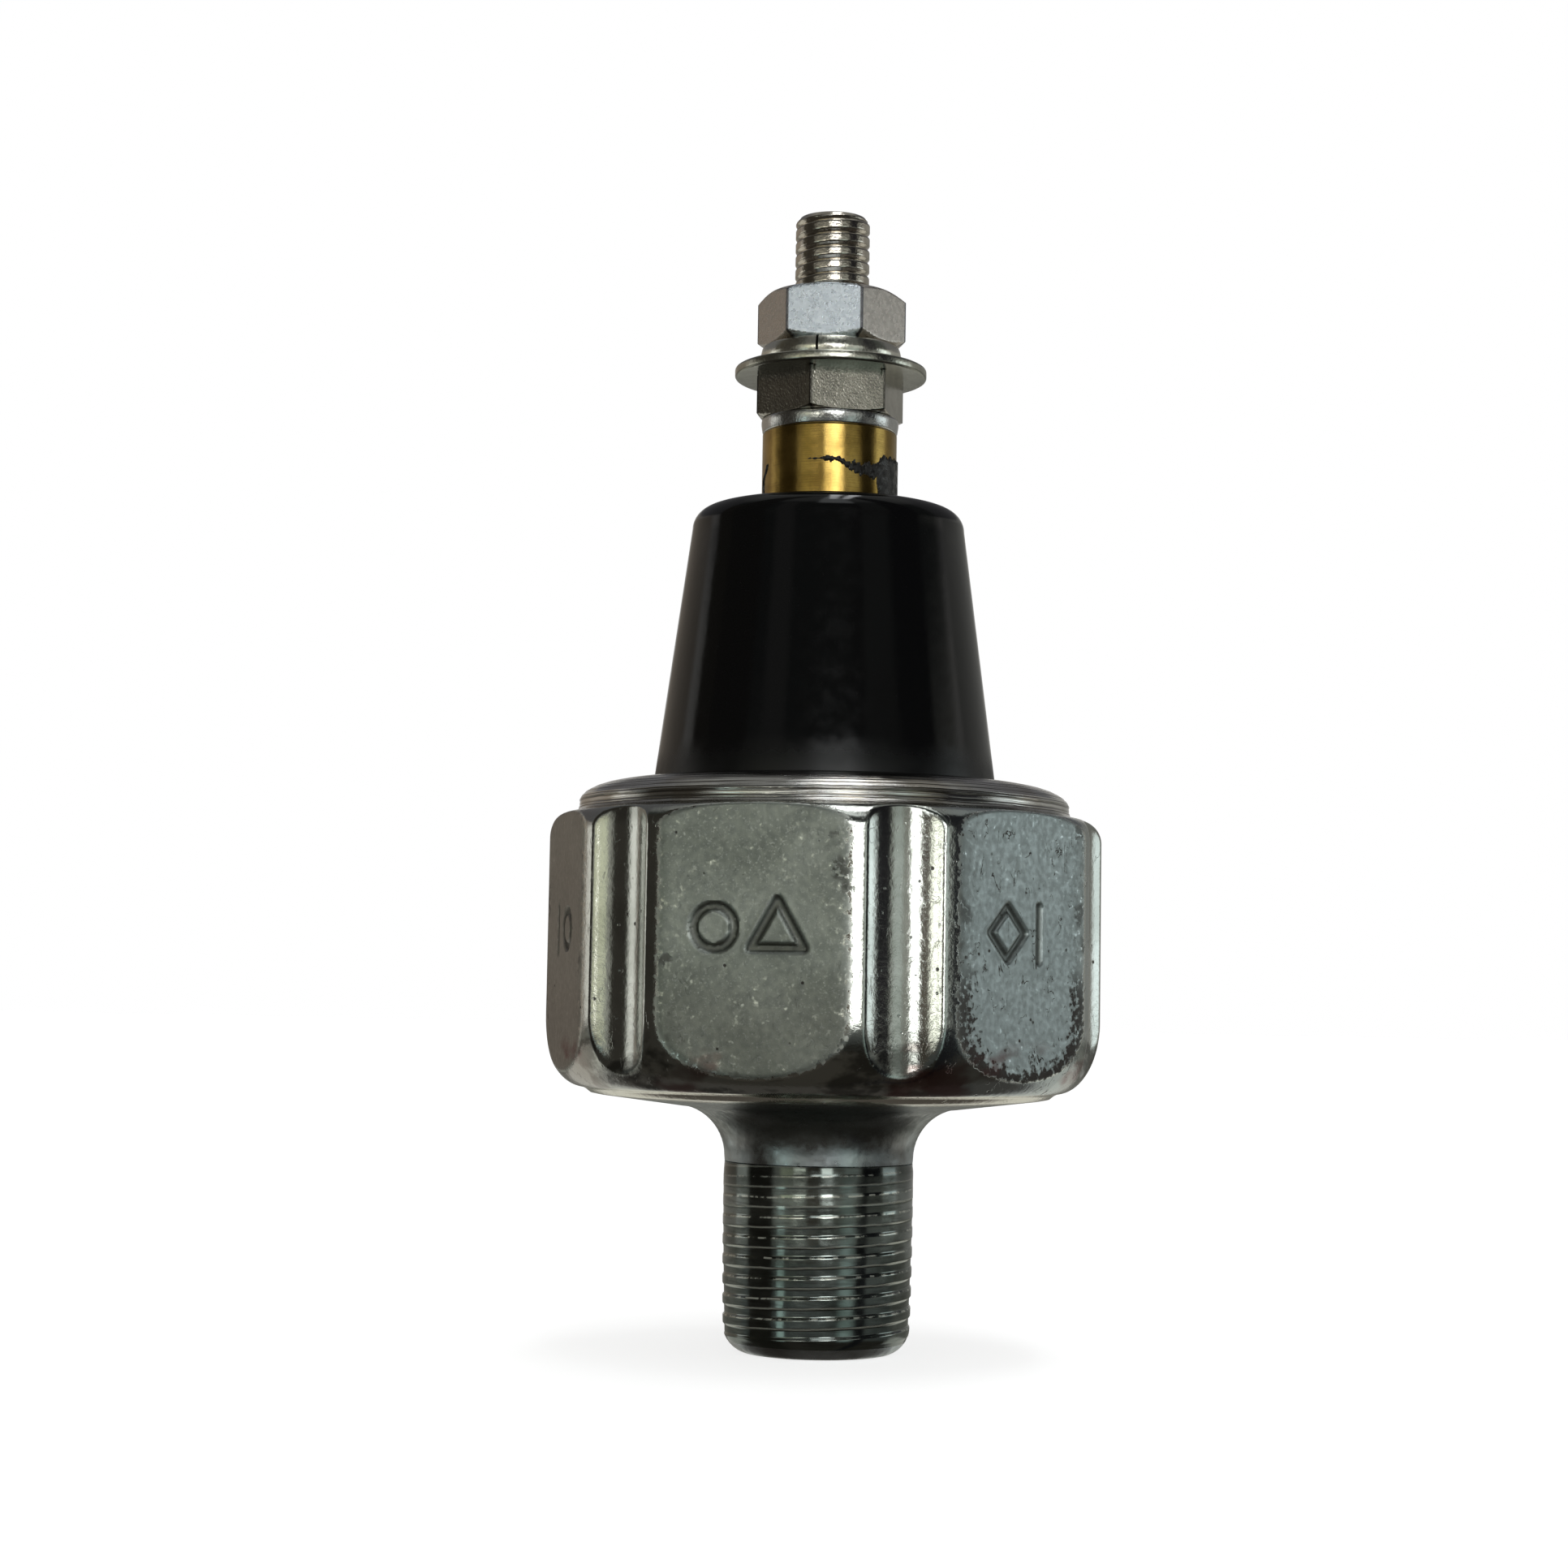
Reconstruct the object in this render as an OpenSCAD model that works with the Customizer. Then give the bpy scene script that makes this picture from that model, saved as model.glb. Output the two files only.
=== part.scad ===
// Screw-in oil pressure switch: fluted hexagon body, taper thread port,
// moulded insulator under a rolled lip, and a single M4 screw terminal.
// Millimetres. Z = 0 is the end of the port thread, +Z runs to the terminal.

/* [Body] */
// Width across the hexagon's flats
hex_af = 27; // [26.8:0.1:27.2]
// Diameter of the turned blank that cuts the hexagon's corners
blank_d = 28.5; // [28.3:0.1:28.7]
// Radius of the six flutes along the corners
flute_r = 3.2; // [3:0.1:3.4]
// Height where the rounded lower shoulder meets the full blank
shoulder_top = 16.9; // [16.5:0.1:17.5]
// Height of the rolled lip's crest
lip_top = 28.9; // [28.8:0.1:29.1]

/* [Port] */
// Mean diameter over the taper thread
port_d = 9.8; // [9.7:0.05:9.9]
// Height of the threaded length
port_length = 9.6; // [9.2:0.1:9.7]
// Diameter of the pressure passage
passage_d = 3.2; // [2.8:0.1:3.4]
// Diameter of the damping orifice
orifice_d = 1; // [0.8:0.1:1.2]

/* [Insulator] */
// Diameter of the insulator where it leaves the lip
insulator_d = 17.6; // [17.5:0.05:17.65]
// Height of the insulator's top face
insulator_top = 43.2; // [42.8:0.1:43.6]
// Narrowing of the radius for each millimetre of height
insulator_slope = 0.133; // [0.12:0.001:0.14]

/* [Terminal] */
// Diameter of the brass bush
bush_d = 7; // [6.9:0.05:7.1]
// Height of the bush's upper end
bush_top = 47.2; // [47:0.1:47.5]
// Diameter of the M4 stud in its nuts
stud_d = 3.9; // [3.86:0.01:3.92]
// Height of the stud's upper end
stud_top = 58.7; // [58:0.1:59]
// Width across the flats of both terminal nuts
nut_af = 6.8; // [6.7:0.05:7]
// Diameter of the flat washer
washer_d = 10; // [9.8:0.1:10]

/* [Pressure element] */
// Mean diameter of the spring
spring_d = 6.6; // [6.4:0.1:6.8]
// Wire diameter of the spring
wire_d = 0.7; // [0.6:0.05:0.7]
// Turns of the spring
spring_turns = 6; // [5:0.5:6]

/* [Hidden] */
$fn = 96;
cut = 1;
arc_steps = 8;

blank_r = blank_d / 2;
bush_r = bush_d / 2;
stud_r = stud_d / 2;

// Outside of the body
flute_centre_r = 16.7;
thread_r = port_d / 2;
thread_chamfer_r = 1.5;
thread_chamfer_h = 1.1;
neck_r = 4.83;
neck_fillet = 2.6;
underside_z = 12.45;
rim_inner = [11.4, 12.95];
rim = [12.1, 13.3];
crown_r = 13.15;
crown_base_z = 26;
crown_h = 1.15;
lip_foot = [12.72, 27.35];
lip_centre = [9.7, 27.5];
lip_r = 12.62;
lip_gap = 0.03;
lip_bevel = 0.3;
lip_crest_w = 0.5;
lip_crest_drop = 0.05;
lip_inner_r = insulator_d / 2 + lip_gap;
lip_inner_top = lip_top - lip_bevel;

// Inside of the body
floor_z = 17;
cavity_r = 11.4;
cavity_top = 27.6;
passage_top = 13;
recess_r = 8;
recess_depth = 0.5;
seal_r = 9.9;
seal_section_r = 0.75;
groove_half = 0.8;
groove_depth = 2 * seal_section_r;

// Stack on the floor
film_t = 0.15;
film_r = 11.2;
ring_z = floor_z + 2 * film_t;
ring_r = 11.3;
ring_bore_r = 5;
contact_z = 19;
gasket_r = 8.6;
gasket_t = 0.4;

// Moving contact
plunger_head_r = 4.6;
plunger_head_top = 18.6;
plunger_stem_r = 3;
tip_h = 0.3;
tip_r = 0.8;
tip_circle_r = 6.3;
tip_count = 3;
plate_z = contact_z + tip_h;
plate_t = 0.6;
plate_r = 7.4;
locator_r = 2.5;
locator_h = 0.7;

// Spring and its seat
spring_z = plate_z + plate_t;
seat_z = 26;
seat_t = 1;
seat_r = 4.3;
spring_steps = 24;
closed_turn_rise = 1.05 * wire_d;
wire_sides = 8;

// Insulator
flange_r = 11.35;
chamber_r = 8.4;
chamber_top = 27.2;
insulator_round = 1.1;
cone_lead = 0.2;
cone_start = lip_top + cone_lead;

// Bush
bush_flange_af = 10;
bush_flange_t = 1.5;
bush_groove_r = 3;
bush_groove_z = 35;
bush_groove_h = 1.5;

// Terminal stack, each from its lower face
collar_t = 0.75;
collar_r = 3.58;
lock_nut_z = bush_top + collar_t;
lock_nut_t = 2.2;
washer_z = lock_nut_z + lock_nut_t;
washer_t = 0.5;
washer_bore_r = 2.15;
lock_washer_z = washer_z + washer_t;
lock_washer_t = 1.1;
lock_washer_r = 3.7;
lock_washer_bore_r = 2.1;
split_w = 0.12;
split_angle = 2.5;
nut_z = lock_washer_z + lock_washer_t;
nut_t = 2.8;
nut_bore_r = 2;
nut_face_inset = 0.1;
nut_cone_slope = 0.6;
nut_cone_reach = 1;
nut_turn_angle = 7.5;
lock_nut_turn_angle = 29;
free_end_z = nut_z + nut_t;
free_end_groove = 0.5;
free_end_groove_r = 1.65;
free_end_r = 1.96;
stud_chamfer = 0.4;

// Sealing lacquer
lacquer_t = 0.12;
lacquer_h = 2.2;
lacquer_from = -5;
lacquer_to = 115;

// Points of an elliptical arc from angle a0 to a1
function arc(centre, rx, rz, a0, a1, steps) =
    [for (i = [0:steps])
        let (a = a0 + (a1 - a0) * i / steps)
        [centre[0] + rx * cos(a), centre[1] + rz * sin(a)]];

// Radius of the insulator's cone at a height
function insulator_r(z) = insulator_d / 2 - insulator_slope * (z - cone_start);

// Height of the spring's centre line, with one closed turn at each end
function spring_height(turn) =
    let (low = spring_z + wire_d / 2,
         high = seat_z - wire_d / 2,
         pitch = (high - low - 2 * closed_turn_rise) / (spring_turns - 2))
    turn < 1 ? low + closed_turn_rise * turn
    : turn > spring_turns - 1 ? high - closed_turn_rise * (spring_turns - turn)
    : low + closed_turn_rise + pitch * (turn - 1);

// One ring of points round the spring's wire
function wire_ring(turn) =
    [for (k = [0:wire_sides - 1])
        let (a = 360 * turn, b = 360 * k / wire_sides,
             r = spring_d / 2 + wire_d / 2 * cos(b))
        [r * cos(a), r * sin(a), spring_height(turn) + wire_d / 2 * sin(b)]];

module tube(outer_r, inner_r, z, h) {
    translate([0, 0, z])
        difference() {
            cylinder(r = outer_r, h = h);
            translate([0, 0, -cut])
                cylinder(r = inner_r, h = h + 2 * cut);
        }
}

module hexagon(af, z, h, angle) {
    rotate([0, 0, angle])
        translate([0, 0, z])
            cylinder(r = af / sqrt(3), h = h, $fn = 6);
}

// Turned outline of the body, from the thread's end to the lip
module body_blank() {
    fillet_centre = [neck_r + neck_fillet, underside_z - neck_fillet];
    shoulder_centre = [rim[0], shoulder_top];
    crown_centre = [crown_r, crown_base_z];
    rotate_extrude()
        polygon(concat(
            [[0, 0],
             [thread_r - thread_chamfer_r, 0],
             [thread_r, thread_chamfer_h],
             [thread_r, port_length],
             [neck_r, port_length + thread_r - neck_r]],
            arc(fillet_centre, neck_fillet, neck_fillet, 180, 90, arc_steps),
            [rim_inner],
            arc(shoulder_centre, blank_r - rim[0], shoulder_top - rim[1], -90, 0, arc_steps),
            arc(crown_centre, blank_r - crown_r, crown_h, 0, 90, arc_steps),
            [lip_foot],
            arc(lip_centre, lip_r - lip_centre[0], lip_top - lip_centre[1], 0, 90, arc_steps),
            [[lip_inner_r + lip_crest_w, lip_top - lip_crest_drop],
             [lip_inner_r, lip_inner_top],
             [lip_inner_r, cavity_top - cut],
             [0, cavity_top - cut]]));
}

module body_flutes() {
    for (i = [0:5])
        rotate([0, 0, 60 * i])
            translate([flute_centre_r, 0, 0])
                cylinder(r = flute_r, h = lip_foot[1]);
}

module switch_body() {
    color("lightslategray")
        difference() {
            intersection() {
                body_blank();
                hexagon(hex_af, 0, lip_top + cut, 0);
            }
            body_flutes();
            translate([0, 0, floor_z])
                cylinder(r = cavity_r, h = cavity_top - floor_z);
            translate([0, 0, floor_z - recess_depth])
                cylinder(r = recess_r, h = recess_depth + cut);
            tube(seal_r + groove_half, seal_r - groove_half, floor_z - groove_depth,
                 groove_depth + cut);
            translate([0, 0, -cut])
                cylinder(d = passage_d, h = passage_top + cut);
            cylinder(d = orifice_d, h = floor_z);
        }
}

module body_seal() {
    color("dimgray")
        translate([0, 0, floor_z - seal_section_r])
            rotate_extrude()
                translate([seal_r, 0])
                    circle(r = seal_section_r);
}

module diaphragm() {
    color("orange")
        translate([0, 0, floor_z])
            cylinder(r = film_r, h = film_t);
}

module diaphragm_backing() {
    color("goldenrod")
        translate([0, 0, floor_z + film_t])
            cylinder(r = film_r, h = film_t);
}

module contact_ring() {
    color("silver")
        tube(ring_r, ring_bore_r, ring_z, contact_z - ring_z);
}

module insulator_gasket() {
    color("peru")
        tube(ring_r, gasket_r, contact_z, gasket_t);
}

module plunger() {
    color("ivory") {
        translate([0, 0, ring_z])
            cylinder(r = plunger_head_r, h = plunger_head_top - ring_z);
        translate([0, 0, plunger_head_top])
            cylinder(r = plunger_stem_r, h = plate_z - plunger_head_top);
    }
}

module contact_tips() {
    color("gainsboro")
        for (i = [0:tip_count - 1])
            rotate([0, 0, 360 * i / tip_count])
                translate([tip_circle_r, 0, contact_z])
                    cylinder(r = tip_r, h = tip_h);
}

module moving_contact() {
    color("darkgoldenrod") {
        translate([0, 0, plate_z])
            cylinder(r = plate_r, h = plate_t);
        translate([0, 0, spring_z])
            cylinder(r = locator_r, h = locator_h);
    }
}

module pressure_spring() {
    rings = spring_turns * spring_steps;
    points = [for (i = [0:rings]) each wire_ring(i / spring_steps)];
    sides = [for (i = [0:rings - 1], k = [0:wire_sides - 1])
        let (next = (k + 1) % wire_sides, low = i * wire_sides)
        [low + k, low + next, low + wire_sides + next, low + wire_sides + k]];
    start = [for (k = [0:wire_sides - 1]) wire_sides - 1 - k];
    end = [for (k = [0:wire_sides - 1]) rings * wire_sides + k];
    color("slategray")
        polyhedron(points, concat([start], sides, [end]));
}

module spring_seat() {
    color("gold") {
        translate([0, 0, seat_z])
            cylinder(r = seat_r, h = seat_t);
        translate([0, 0, seat_z - locator_h])
            cylinder(r = locator_r, h = locator_h);
    }
}

module insulator_outline() {
    base_z = contact_z + gasket_t;
    round_z = insulator_top - insulator_round;
    round_centre = [insulator_r(round_z) - insulator_round, round_z];
    rotate_extrude()
        polygon(concat(
            [[0, base_z],
             [flange_r, base_z],
             [flange_r, cavity_top],
             [insulator_d / 2, cavity_top],
             [insulator_d / 2, cone_start]],
            arc(round_centre, insulator_round, insulator_round, 0, 90, arc_steps),
            [[0, insulator_top]]));
}

module insulator() {
    color("black")
        difference() {
            insulator_outline();
            translate([0, 0, contact_z])
                cylinder(r = chamber_r, h = chamber_top - contact_z);
            bush_outline();
        }
}

// Outside of the moulded-in bush: hexagon flange, retaining groove and sleeve
module bush_outline() {
    hexagon(bush_flange_af, chamber_top, bush_flange_t, 0);
    difference() {
        translate([0, 0, chamber_top])
            cylinder(r = bush_r, h = bush_top - chamber_top);
        tube(bush_r + cut, bush_groove_r, bush_groove_z, bush_groove_h);
    }
}

module terminal_bush() {
    color("darkgoldenrod")
        difference() {
            bush_outline();
            translate([0, 0, chamber_top - cut])
                cylinder(r = stud_r, h = bush_top - chamber_top + 2 * cut);
        }
}

module bush_collar() {
    color("silver")
        difference() {
            translate([0, 0, bush_top])
                cylinder(r1 = bush_r, r2 = collar_r, h = collar_t);
            translate([0, 0, bush_top - cut])
                cylinder(r = stud_r, h = collar_t + 2 * cut);
        }
}

module terminal_stud() {
    seat_top = seat_z + seat_t;
    color("lightgray")
        rotate_extrude()
            polygon([[0, seat_top],
                     [stud_r - stud_chamfer, seat_top],
                     [stud_r, seat_top + stud_chamfer],
                     [stud_r, free_end_z],
                     [free_end_groove_r, free_end_z],
                     [free_end_groove_r, free_end_z + free_end_groove],
                     [free_end_r, free_end_z + free_end_groove],
                     [free_end_r, stud_top - stud_chamfer],
                     [free_end_r - stud_chamfer, stud_top],
                     [0, stud_top]]);
}

// Cones that cut a nut's corners; low and high choose which ends are cut
module nut_limit(z, h, low, high) {
    face_r = nut_af / 2 - nut_face_inset;
    wide_r = nut_af / 2 + nut_cone_reach;
    rise = (wide_r - face_r) * nut_cone_slope;
    rotate_extrude()
        polygon([[0, z],
                 [low ? face_r : wide_r, z],
                 [wide_r, z + rise],
                 [wide_r, z + h - rise],
                 [high ? face_r : wide_r, z + h],
                 [0, z + h]]);
}

module nut(z, h, angle, bore_r, low, high) {
    difference() {
        intersection() {
            hexagon(nut_af, z, h, angle);
            nut_limit(z, h, low, high);
        }
        translate([0, 0, z - cut])
            cylinder(r = bore_r, h = h + 2 * cut);
    }
}

module lock_nut() {
    color("darkgray")
        nut(lock_nut_z, lock_nut_t, lock_nut_turn_angle, stud_r, true, false);
}

module flat_washer() {
    color("silver")
        tube(washer_d / 2, washer_bore_r, washer_z, washer_t);
}

module lock_washer() {
    color("silver")
        difference() {
            tube(lock_washer_r, lock_washer_bore_r, lock_washer_z, lock_washer_t);
            rotate([0, 0, split_angle])
                translate([-split_w / 2, -lock_washer_r - cut, lock_washer_z - cut])
                    cube([split_w, lock_washer_r, lock_washer_t + 2 * cut]);
        }
}

module terminal_nut() {
    color("lightsteelblue")
        nut(nut_z, nut_t, nut_turn_angle, nut_bore_r, true, true);
}

// A smear of lacquer round the foot of the bush, from lacquer_from to lacquer_to
module sealing_lacquer() {
    middle = (lacquer_from + lacquer_to) / 2;
    half = (lacquer_to - lacquer_from) / 2;
    reach = 2 * bush_r;
    color("black")
        intersection() {
            tube(bush_r + lacquer_t, bush_r, insulator_top, lacquer_h);
            rotate([0, 0, middle - 90])
                translate([0, 0, insulator_top])
                    linear_extrude(lacquer_h)
                        polygon([[0, 0],
                                 [reach * cos(half), -reach * sin(half)],
                                 [reach, 0],
                                 [reach * cos(half), reach * sin(half)]]);
        }
}

switch_body();
body_seal();
diaphragm();
diaphragm_backing();
contact_ring();
insulator_gasket();
plunger();
contact_tips();
moving_contact();
pressure_spring();
spring_seat();
insulator();
terminal_bush();
bush_collar();
terminal_stud();
lock_nut();
flat_washer();
lock_washer();
terminal_nut();
sealing_lacquer();
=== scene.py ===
"""Looks for a screw-in oil pressure switch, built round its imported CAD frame.

Every length below is in millimetres until a mesh is made, when MM turns it into metres.
Angles round the axis run from +X towards +Y; one flat of the hexagon faces -Y.
"""
import math
import bmesh
import bpy
import numpy as np
from mathutils import Matrix, Vector


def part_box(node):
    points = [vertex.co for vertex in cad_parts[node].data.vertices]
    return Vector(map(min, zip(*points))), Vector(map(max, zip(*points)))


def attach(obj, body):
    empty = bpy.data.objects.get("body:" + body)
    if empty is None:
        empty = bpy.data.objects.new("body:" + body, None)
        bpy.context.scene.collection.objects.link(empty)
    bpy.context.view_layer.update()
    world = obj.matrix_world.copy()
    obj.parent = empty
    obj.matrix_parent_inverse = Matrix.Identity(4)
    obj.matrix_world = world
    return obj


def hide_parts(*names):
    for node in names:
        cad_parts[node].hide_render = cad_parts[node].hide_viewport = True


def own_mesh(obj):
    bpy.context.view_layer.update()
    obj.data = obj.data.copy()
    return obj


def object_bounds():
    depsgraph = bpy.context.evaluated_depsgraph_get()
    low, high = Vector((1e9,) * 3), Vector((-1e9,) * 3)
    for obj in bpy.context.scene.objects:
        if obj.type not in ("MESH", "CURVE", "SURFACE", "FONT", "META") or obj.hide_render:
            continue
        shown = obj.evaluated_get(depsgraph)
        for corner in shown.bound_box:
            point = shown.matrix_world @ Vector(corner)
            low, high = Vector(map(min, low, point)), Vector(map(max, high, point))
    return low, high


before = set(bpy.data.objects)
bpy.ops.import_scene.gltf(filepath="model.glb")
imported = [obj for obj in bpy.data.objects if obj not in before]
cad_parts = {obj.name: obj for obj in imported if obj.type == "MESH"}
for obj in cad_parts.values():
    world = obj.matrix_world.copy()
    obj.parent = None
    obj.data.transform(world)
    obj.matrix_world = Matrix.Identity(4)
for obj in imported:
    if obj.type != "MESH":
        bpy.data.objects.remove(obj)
cad_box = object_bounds()

MM = 0.001
TAU = 2 * math.pi
SIXTH = TAU / 6


# ---- Places taken from the frame

def low_high(node):
    """A node's lowest and highest corners, in millimetres."""
    low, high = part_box(node)
    return np.array(low) / MM, np.array(high) / MM


def heights(node):
    """A node's lowest and highest z."""
    low, high = low_high(node)
    return low[2], high[2]


def widest(node):
    """Largest radius that a turned node's box allows."""
    low, high = low_high(node)
    return max(high[0] - low[0], high[1] - low[1]) / 2


BODY_Z = heights("switch_body")
INSULATOR_Z = heights("insulator")
LOCK_NUT_Z = heights("lock_nut")
WASHER_Z = heights("flat_washer")
STUD_Z = heights("terminal_stud")
APOTHEM = low_high("switch_body")[1][1]

# Degrees from the front flat's normal, towards +X
CAMERA_AZIMUTH = 14.0


# ---- Outline helpers

def arc(centre, rx, rz, start, end, steps):
    """Points of an elliptical arc between two angles in degrees, as (r, z)."""
    turn = np.radians(np.linspace(start, end, steps + 1))
    return [(centre[0] + rx * math.cos(a), centre[1] + rz * math.sin(a)) for a in turn]


def line(a, b, steps):
    """Evenly spaced points from a to b, both included."""
    return [tuple(p) for p in np.linspace(a, b, steps + 1)]


def rounded(points, radius, steps=4):
    """A closed outline with each corner replaced by a short curve."""
    corners = np.array(points, float)
    result = []
    for before, here, after in zip(np.roll(corners, 1, 0), corners, np.roll(corners, -1, 0)):
        back, ahead = before - here, after - here
        back_size, ahead_size = np.linalg.norm(back), np.linalg.norm(ahead)
        reach = min(radius, 0.45 * back_size, 0.45 * ahead_size)
        start, end = here + back / back_size * reach, here + ahead / ahead_size * reach
        for t in np.linspace(0, 1, steps + 1):
            result.append(tuple((1 - t) ** 2 * start + 2 * t * (1 - t) * here + t * t * end))
    return result


def smooth_step(value, low, high):
    """0 at low, 1 at high, with level ends. low may be the larger of the two."""
    t = np.clip((value - low) / (high - low), 0, 1)
    return t * t * (3 - 2 * t)


def soft_min(a, b, width):
    """The smaller of a and b, with the edge between them rounded over width."""
    h = np.maximum(width - np.abs(a - b), 0) / width
    return np.minimum(a, b) - h * h * width / 4


def even_angles(count):
    """Angles of a full circle."""
    return np.arange(count) * TAU / count


def sextant(stretches, centre):
    """Angles round a flat's centre. stretches are (from, to, steps) in degrees from there to
    the corner at 30 degrees, and each is mirrored."""
    half = sorted({round(a, 4) for low, high, steps in stretches
                   for a in np.linspace(low, high, steps + 1)})
    return [math.radians(centre + a) for a in [-a for a in reversed(half[1:-1])] + half]


# ---- Mesh helpers

def finish_mesh(name, points, quads, body, node, materials, sharp=40, groups=None):
    """Makes the object, welds it, sets shading and joins it to its CAD body."""
    mesh = bpy.data.meshes.new(name)
    mesh.from_pydata([tuple(p) for p in np.asarray(points) * MM], [], quads)
    for material in materials:
        mesh.materials.append(material)
    if groups is not None:
        mesh.polygons.foreach_set("material_index", groups)
    build = bmesh.new()
    build.from_mesh(mesh)
    bmesh.ops.remove_doubles(build, verts=build.verts, dist=1e-7)
    bmesh.ops.dissolve_degenerate(build, edges=build.edges, dist=1e-8)
    bmesh.ops.recalc_face_normals(build, faces=build.faces)
    build.to_mesh(mesh)
    build.free()
    mesh.shade_smooth()
    mesh.set_sharp_from_angle(angle=math.radians(sharp))
    piece = bpy.data.objects.new(name, mesh)
    bpy.context.scene.collection.objects.link(piece)
    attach(piece, body)
    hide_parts(node)
    return piece


def grid_points(radius, height, angles):
    """Points of a grid, row by row, from cylindrical coordinates."""
    return np.stack([radius * np.cos(angles), radius * np.sin(angles), height],
                    axis=-1).reshape(-1, 3)


def grid_quads(rows, columns, start=0, close_rows=False, close_columns=True):
    """Quads of a grid whose points are stored row by row from index start."""
    def corner(i, j):
        return start + i % rows * columns + j % columns

    return [(corner(i, j), corner(i, j + 1), corner(i + 1, j + 1), corner(i + 1, j))
            for i in range(rows if close_rows else rows - 1)
            for j in range(columns if close_columns else columns - 1)]


def turned_grid(path, angles):
    """Radii and heights of a path of (r, z) turned round the axis."""
    path = np.array(path, float)
    return (np.repeat(path[:, :1], len(angles), axis=1),
            np.repeat(path[:, 1:], len(angles), axis=1))


def turned(name, path, body, node, material, angles=even_angles(144), warp=None,
           sharp=40):
    """A piece turned from one closed outline, bent by warp."""
    radius, height = turned_grid(path, angles)
    if warp:
        radius, height = warp(angles, radius, height)
    quads = grid_quads(len(path), len(angles), close_rows=True)
    return finish_mesh(name, grid_points(radius, height, angles), quads, body, node,
                       [material], sharp)


def thread_grid(low, high, pitch, tooth, angles, rows_per_turn):
    """A right-hand thread's surface between two heights. Its rows follow the helix and are
    clamped at both ends, so the ends are plain circles. tooth(u, z) gives the radius."""
    turn = np.append(angles, angles[0] + TAU) - angles[0]
    count = int(math.ceil((high - low) / pitch + 1) * rows_per_turn) + 1
    step = np.arange(count)[:, None] / rows_per_turn
    height = np.clip(low + pitch * (step - 1 + turn[None, :] / TAU), low, high)
    radius = tooth(np.repeat(step % 1, len(turn), axis=1), height)
    return radius, height, np.append(angles, angles[0] + TAU)


def threaded(name, below, thread, above, angles, body, node, materials, closed):
    """A turned piece with a threaded stretch: outlines below and above the thread share its
    end circles. closed joins the end of above to the start of below."""
    radius, height, all_angles = thread
    count = len(angles)
    points = [grid_points(radius, height, all_angles)]
    quads = grid_quads(len(radius), count + 1, close_columns=False)
    groups = [0] * len(quads)
    for outline in ([above + below] if closed else [below, above]):
        start = sum(len(p) for p in points)
        points.append(grid_points(*turned_grid(outline, angles), angles))
        quads += grid_quads(len(outline), count, start)
        groups += [len(materials) - 1] * (len(quads) - len(groups))
    return finish_mesh(name, np.concatenate(points), quads, body, node, materials,
                       50, groups)


# ---- Material helpers

class Nodes:
    """Short ways to fill a node tree."""

    def __init__(self, tree):
        self.tree = tree

    def node(self, kind, *values, **settings):
        """A new node. values go to its first inputs, as links or as numbers."""
        node = self.tree.nodes.new(kind)
        for key, value in settings.items():
            setattr(node, key, value)
        for socket, value in zip(node.inputs, values):
            self.feed(socket, value)
        return node

    def feed(self, socket, value):
        if isinstance(value, bpy.types.NodeSocket):
            self.tree.links.new(value, socket)
        else:
            socket.default_value = value

    def math(self, operation, a, b=0.0):
        return self.node("ShaderNodeMath", a, b, operation=operation).outputs[0]

    def add(self, a, b):
        return self.math("ADD", a, b)

    def minus(self, a, b):
        return self.math("SUBTRACT", a, b)

    def times(self, a, b):
        return self.math("MULTIPLY", a, b)

    def most(self, a, b):
        return self.math("MAXIMUM", a, b)

    def vector(self, operation, a, b):
        return self.node("ShaderNodeVectorMath", a, b, operation=operation).outputs[0]

    def split(self, vector):
        return self.node("ShaderNodeSeparateXYZ", vector).outputs

    def joined(self, x, y, z):
        return self.node("ShaderNodeCombineXYZ", x, y, z).outputs[0]

    def span(self, value, low, high, out_low=0.0, out_high=1.0):
        """value mapped smoothly from low..high to out_low..out_high."""
        return self.node("ShaderNodeMapRange", value, low, high, out_low, out_high,
                         interpolation_type="SMOOTHSTEP").outputs["Result"]

    def band(self, value, low, high, soft):
        """1 between low and high, falling to 0 over soft on each side."""
        rise = self.span(value, low - soft, low + soft)
        fall = self.span(value, high - soft, high + soft, 1.0, 0.0)
        return self.times(rise, fall)

    def mix(self, amount, a, b):
        node = self.node("ShaderNodeMix", data_type="RGBA")
        self.feed(node.inputs["Factor"], amount)
        self.feed(node.inputs["A"], a if not isinstance(a, tuple) else (*a, 1))
        self.feed(node.inputs["B"], b if not isinstance(b, tuple) else (*b, 1))
        return node.outputs["Result"]


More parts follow.
